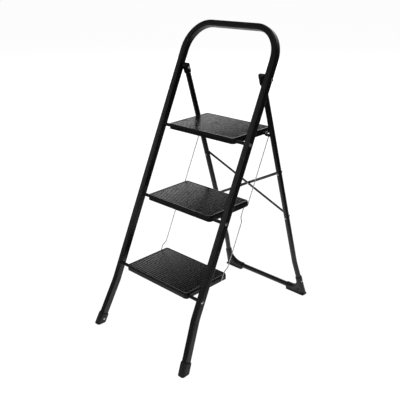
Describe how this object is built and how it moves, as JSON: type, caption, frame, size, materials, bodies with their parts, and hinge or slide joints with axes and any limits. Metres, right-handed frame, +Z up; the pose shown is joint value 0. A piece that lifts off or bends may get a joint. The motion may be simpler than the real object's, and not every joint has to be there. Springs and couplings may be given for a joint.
{
  "type": "folding step ladder",
  "caption": "Folding household step ladder of black tube with ribbed treads, a hand hoop above the platform and a braced swing-out rear frame, shown open.",
  "frame": {"origin": "on the floor, under the middle of the footprint of the open ladder", "axes": "+X to the climber's right, +Y from the front feet towards the rear frame, +Z up"},
  "size_m": [0.4978, 0.7202, 1.0747],
  "materials": {
    "frame_paint": "semi-gloss black powder coat",
    "step_paint": "semi-gloss black powder coat",
    "fitting_paint": "satin black powder coat",
    "mat_rubber": "ribbed matte rubber",
    "foot_rubber": "moulded satin rubber",
    "zinc": "bright zinc plate",
    "zinc_wire": "drawn zinc-plated wire",
    "cap_plastic": "moulded gloss black",
    "spacer_plastic": "moulded matte black"
  },
  "bodies": {
    "front_frame": {"front_frame_tube": "frame_paint", "front_foot_left": "foot_rubber", "front_foot_right": "foot_rubber", "front_foot_rivets": "zinc", "top_step_axle": "zinc", "middle_step_axle": "zinc", "bottom_step_axle": "zinc", "top_axle_sleeves": "fitting_paint", "middle_axle_sleeves": "fitting_paint", "bottom_axle_sleeves": "fitting_paint", "pivot_pin_left": "zinc", "pivot_pin_right": "zinc", "pivot_spacer_left": "spacer_plastic", "pivot_spacer_right": "spacer_plastic"},
    "rear_frame": {"rear_frame_tube": "frame_paint", "rear_foot_left": "foot_rubber", "rear_foot_right": "foot_rubber", "rear_foot_rivets": "zinc", "rear_leg_cap_left": "cap_plastic", "rear_leg_cap_right": "cap_plastic", "catch_bracket_left": "fitting_paint", "catch_bracket_right": "fitting_paint", "cross_brace_flat": "fitting_paint", "cross_brace_joggled": "fitting_paint", "brace_end_rivets": "zinc", "brace_centre_rivet": "zinc"},
    "top_step": {"top_step_pan": "step_paint", "top_step_hinge_tube": "fitting_paint", "top_step_mat": "mat_rubber", "platform_catch_pins": "zinc"},
    "middle_step": {"middle_step_pan": "step_paint", "middle_step_hinge_tube": "fitting_paint", "middle_step_mat": "mat_rubber"},
    "bottom_step": {"bottom_step_pan": "step_paint", "bottom_step_hinge_tube": "fitting_paint", "bottom_step_mat": "mat_rubber"},
    "upper_link_left": {"upper_link_left": "zinc_wire"},
    "upper_link_right": {"upper_link_right": "zinc_wire"},
    "lower_link_left": {"lower_link_left": "zinc_wire"},
    "lower_link_right": {"lower_link_right": "zinc_wire"}
  },
  "joints": [
    {"name": "rear_fold", "type": "hinge", "parent": "front_frame", "child": "rear_frame", "pos_m": [0, 0.11722, 0.90649], "axis": [-1, 0, 0], "range_deg": [0, 39]},
    {"name": "bottom_step_fold", "type": "hinge", "parent": "front_frame", "child": "bottom_step", "pos_m": [0, -0.23456, 0.22481], "axis": [1, 0, 0], "range_deg": [0, 57.33]},
    {"name": "middle_step_fold", "type": "hinge", "parent": "front_frame", "child": "middle_step", "pos_m": [0, -0.11362, 0.46844], "axis": [1, 0, 0], "range_deg": [0, 57.33]},
    {"name": "top_step_fold", "type": "hinge", "parent": "front_frame", "child": "top_step", "pos_m": [0, 0.00732, 0.71208], "axis": [1, 0, 0], "range_deg": [0, 57.33]},
    {"name": "upper_link_left_swing", "type": "hinge", "parent": "top_step", "child": "upper_link_left", "pos_m": [0, 0.17982, 0.70708], "axis": [-1, 0, 0], "range_deg": [0, 57.33]},
    {"name": "upper_link_right_swing", "type": "hinge", "parent": "top_step", "child": "upper_link_right", "pos_m": [0, 0.17982, 0.70708], "axis": [-1, 0, 0], "range_deg": [0, 57.33]},
    {"name": "lower_link_left_swing", "type": "hinge", "parent": "middle_step", "child": "lower_link_left", "pos_m": [0, 0.03938, 0.46344], "axis": [-1, 0, 0], "range_deg": [0, 57.33]},
    {"name": "lower_link_right_swing", "type": "hinge", "parent": "middle_step", "child": "lower_link_right", "pos_m": [0, 0.03938, 0.46344], "axis": [-1, 0, 0], "range_deg": [0, 57.33]}
  ],
  "couplings": [
    {"joint": "bottom_step_fold", "follows": "rear_fold", "ratio": 1.47},
    {"joint": "middle_step_fold", "follows": "rear_fold", "ratio": 1.47},
    {"joint": "top_step_fold", "follows": "rear_fold", "ratio": 1.47},
    {"joint": "upper_link_left_swing", "follows": "rear_fold", "ratio": 1.47},
    {"joint": "upper_link_right_swing", "follows": "rear_fold", "ratio": 1.47},
    {"joint": "lower_link_left_swing", "follows": "rear_fold", "ratio": 1.47},
    {"joint": "lower_link_right_swing", "follows": "rear_fold", "ratio": 1.47}
  ]
}
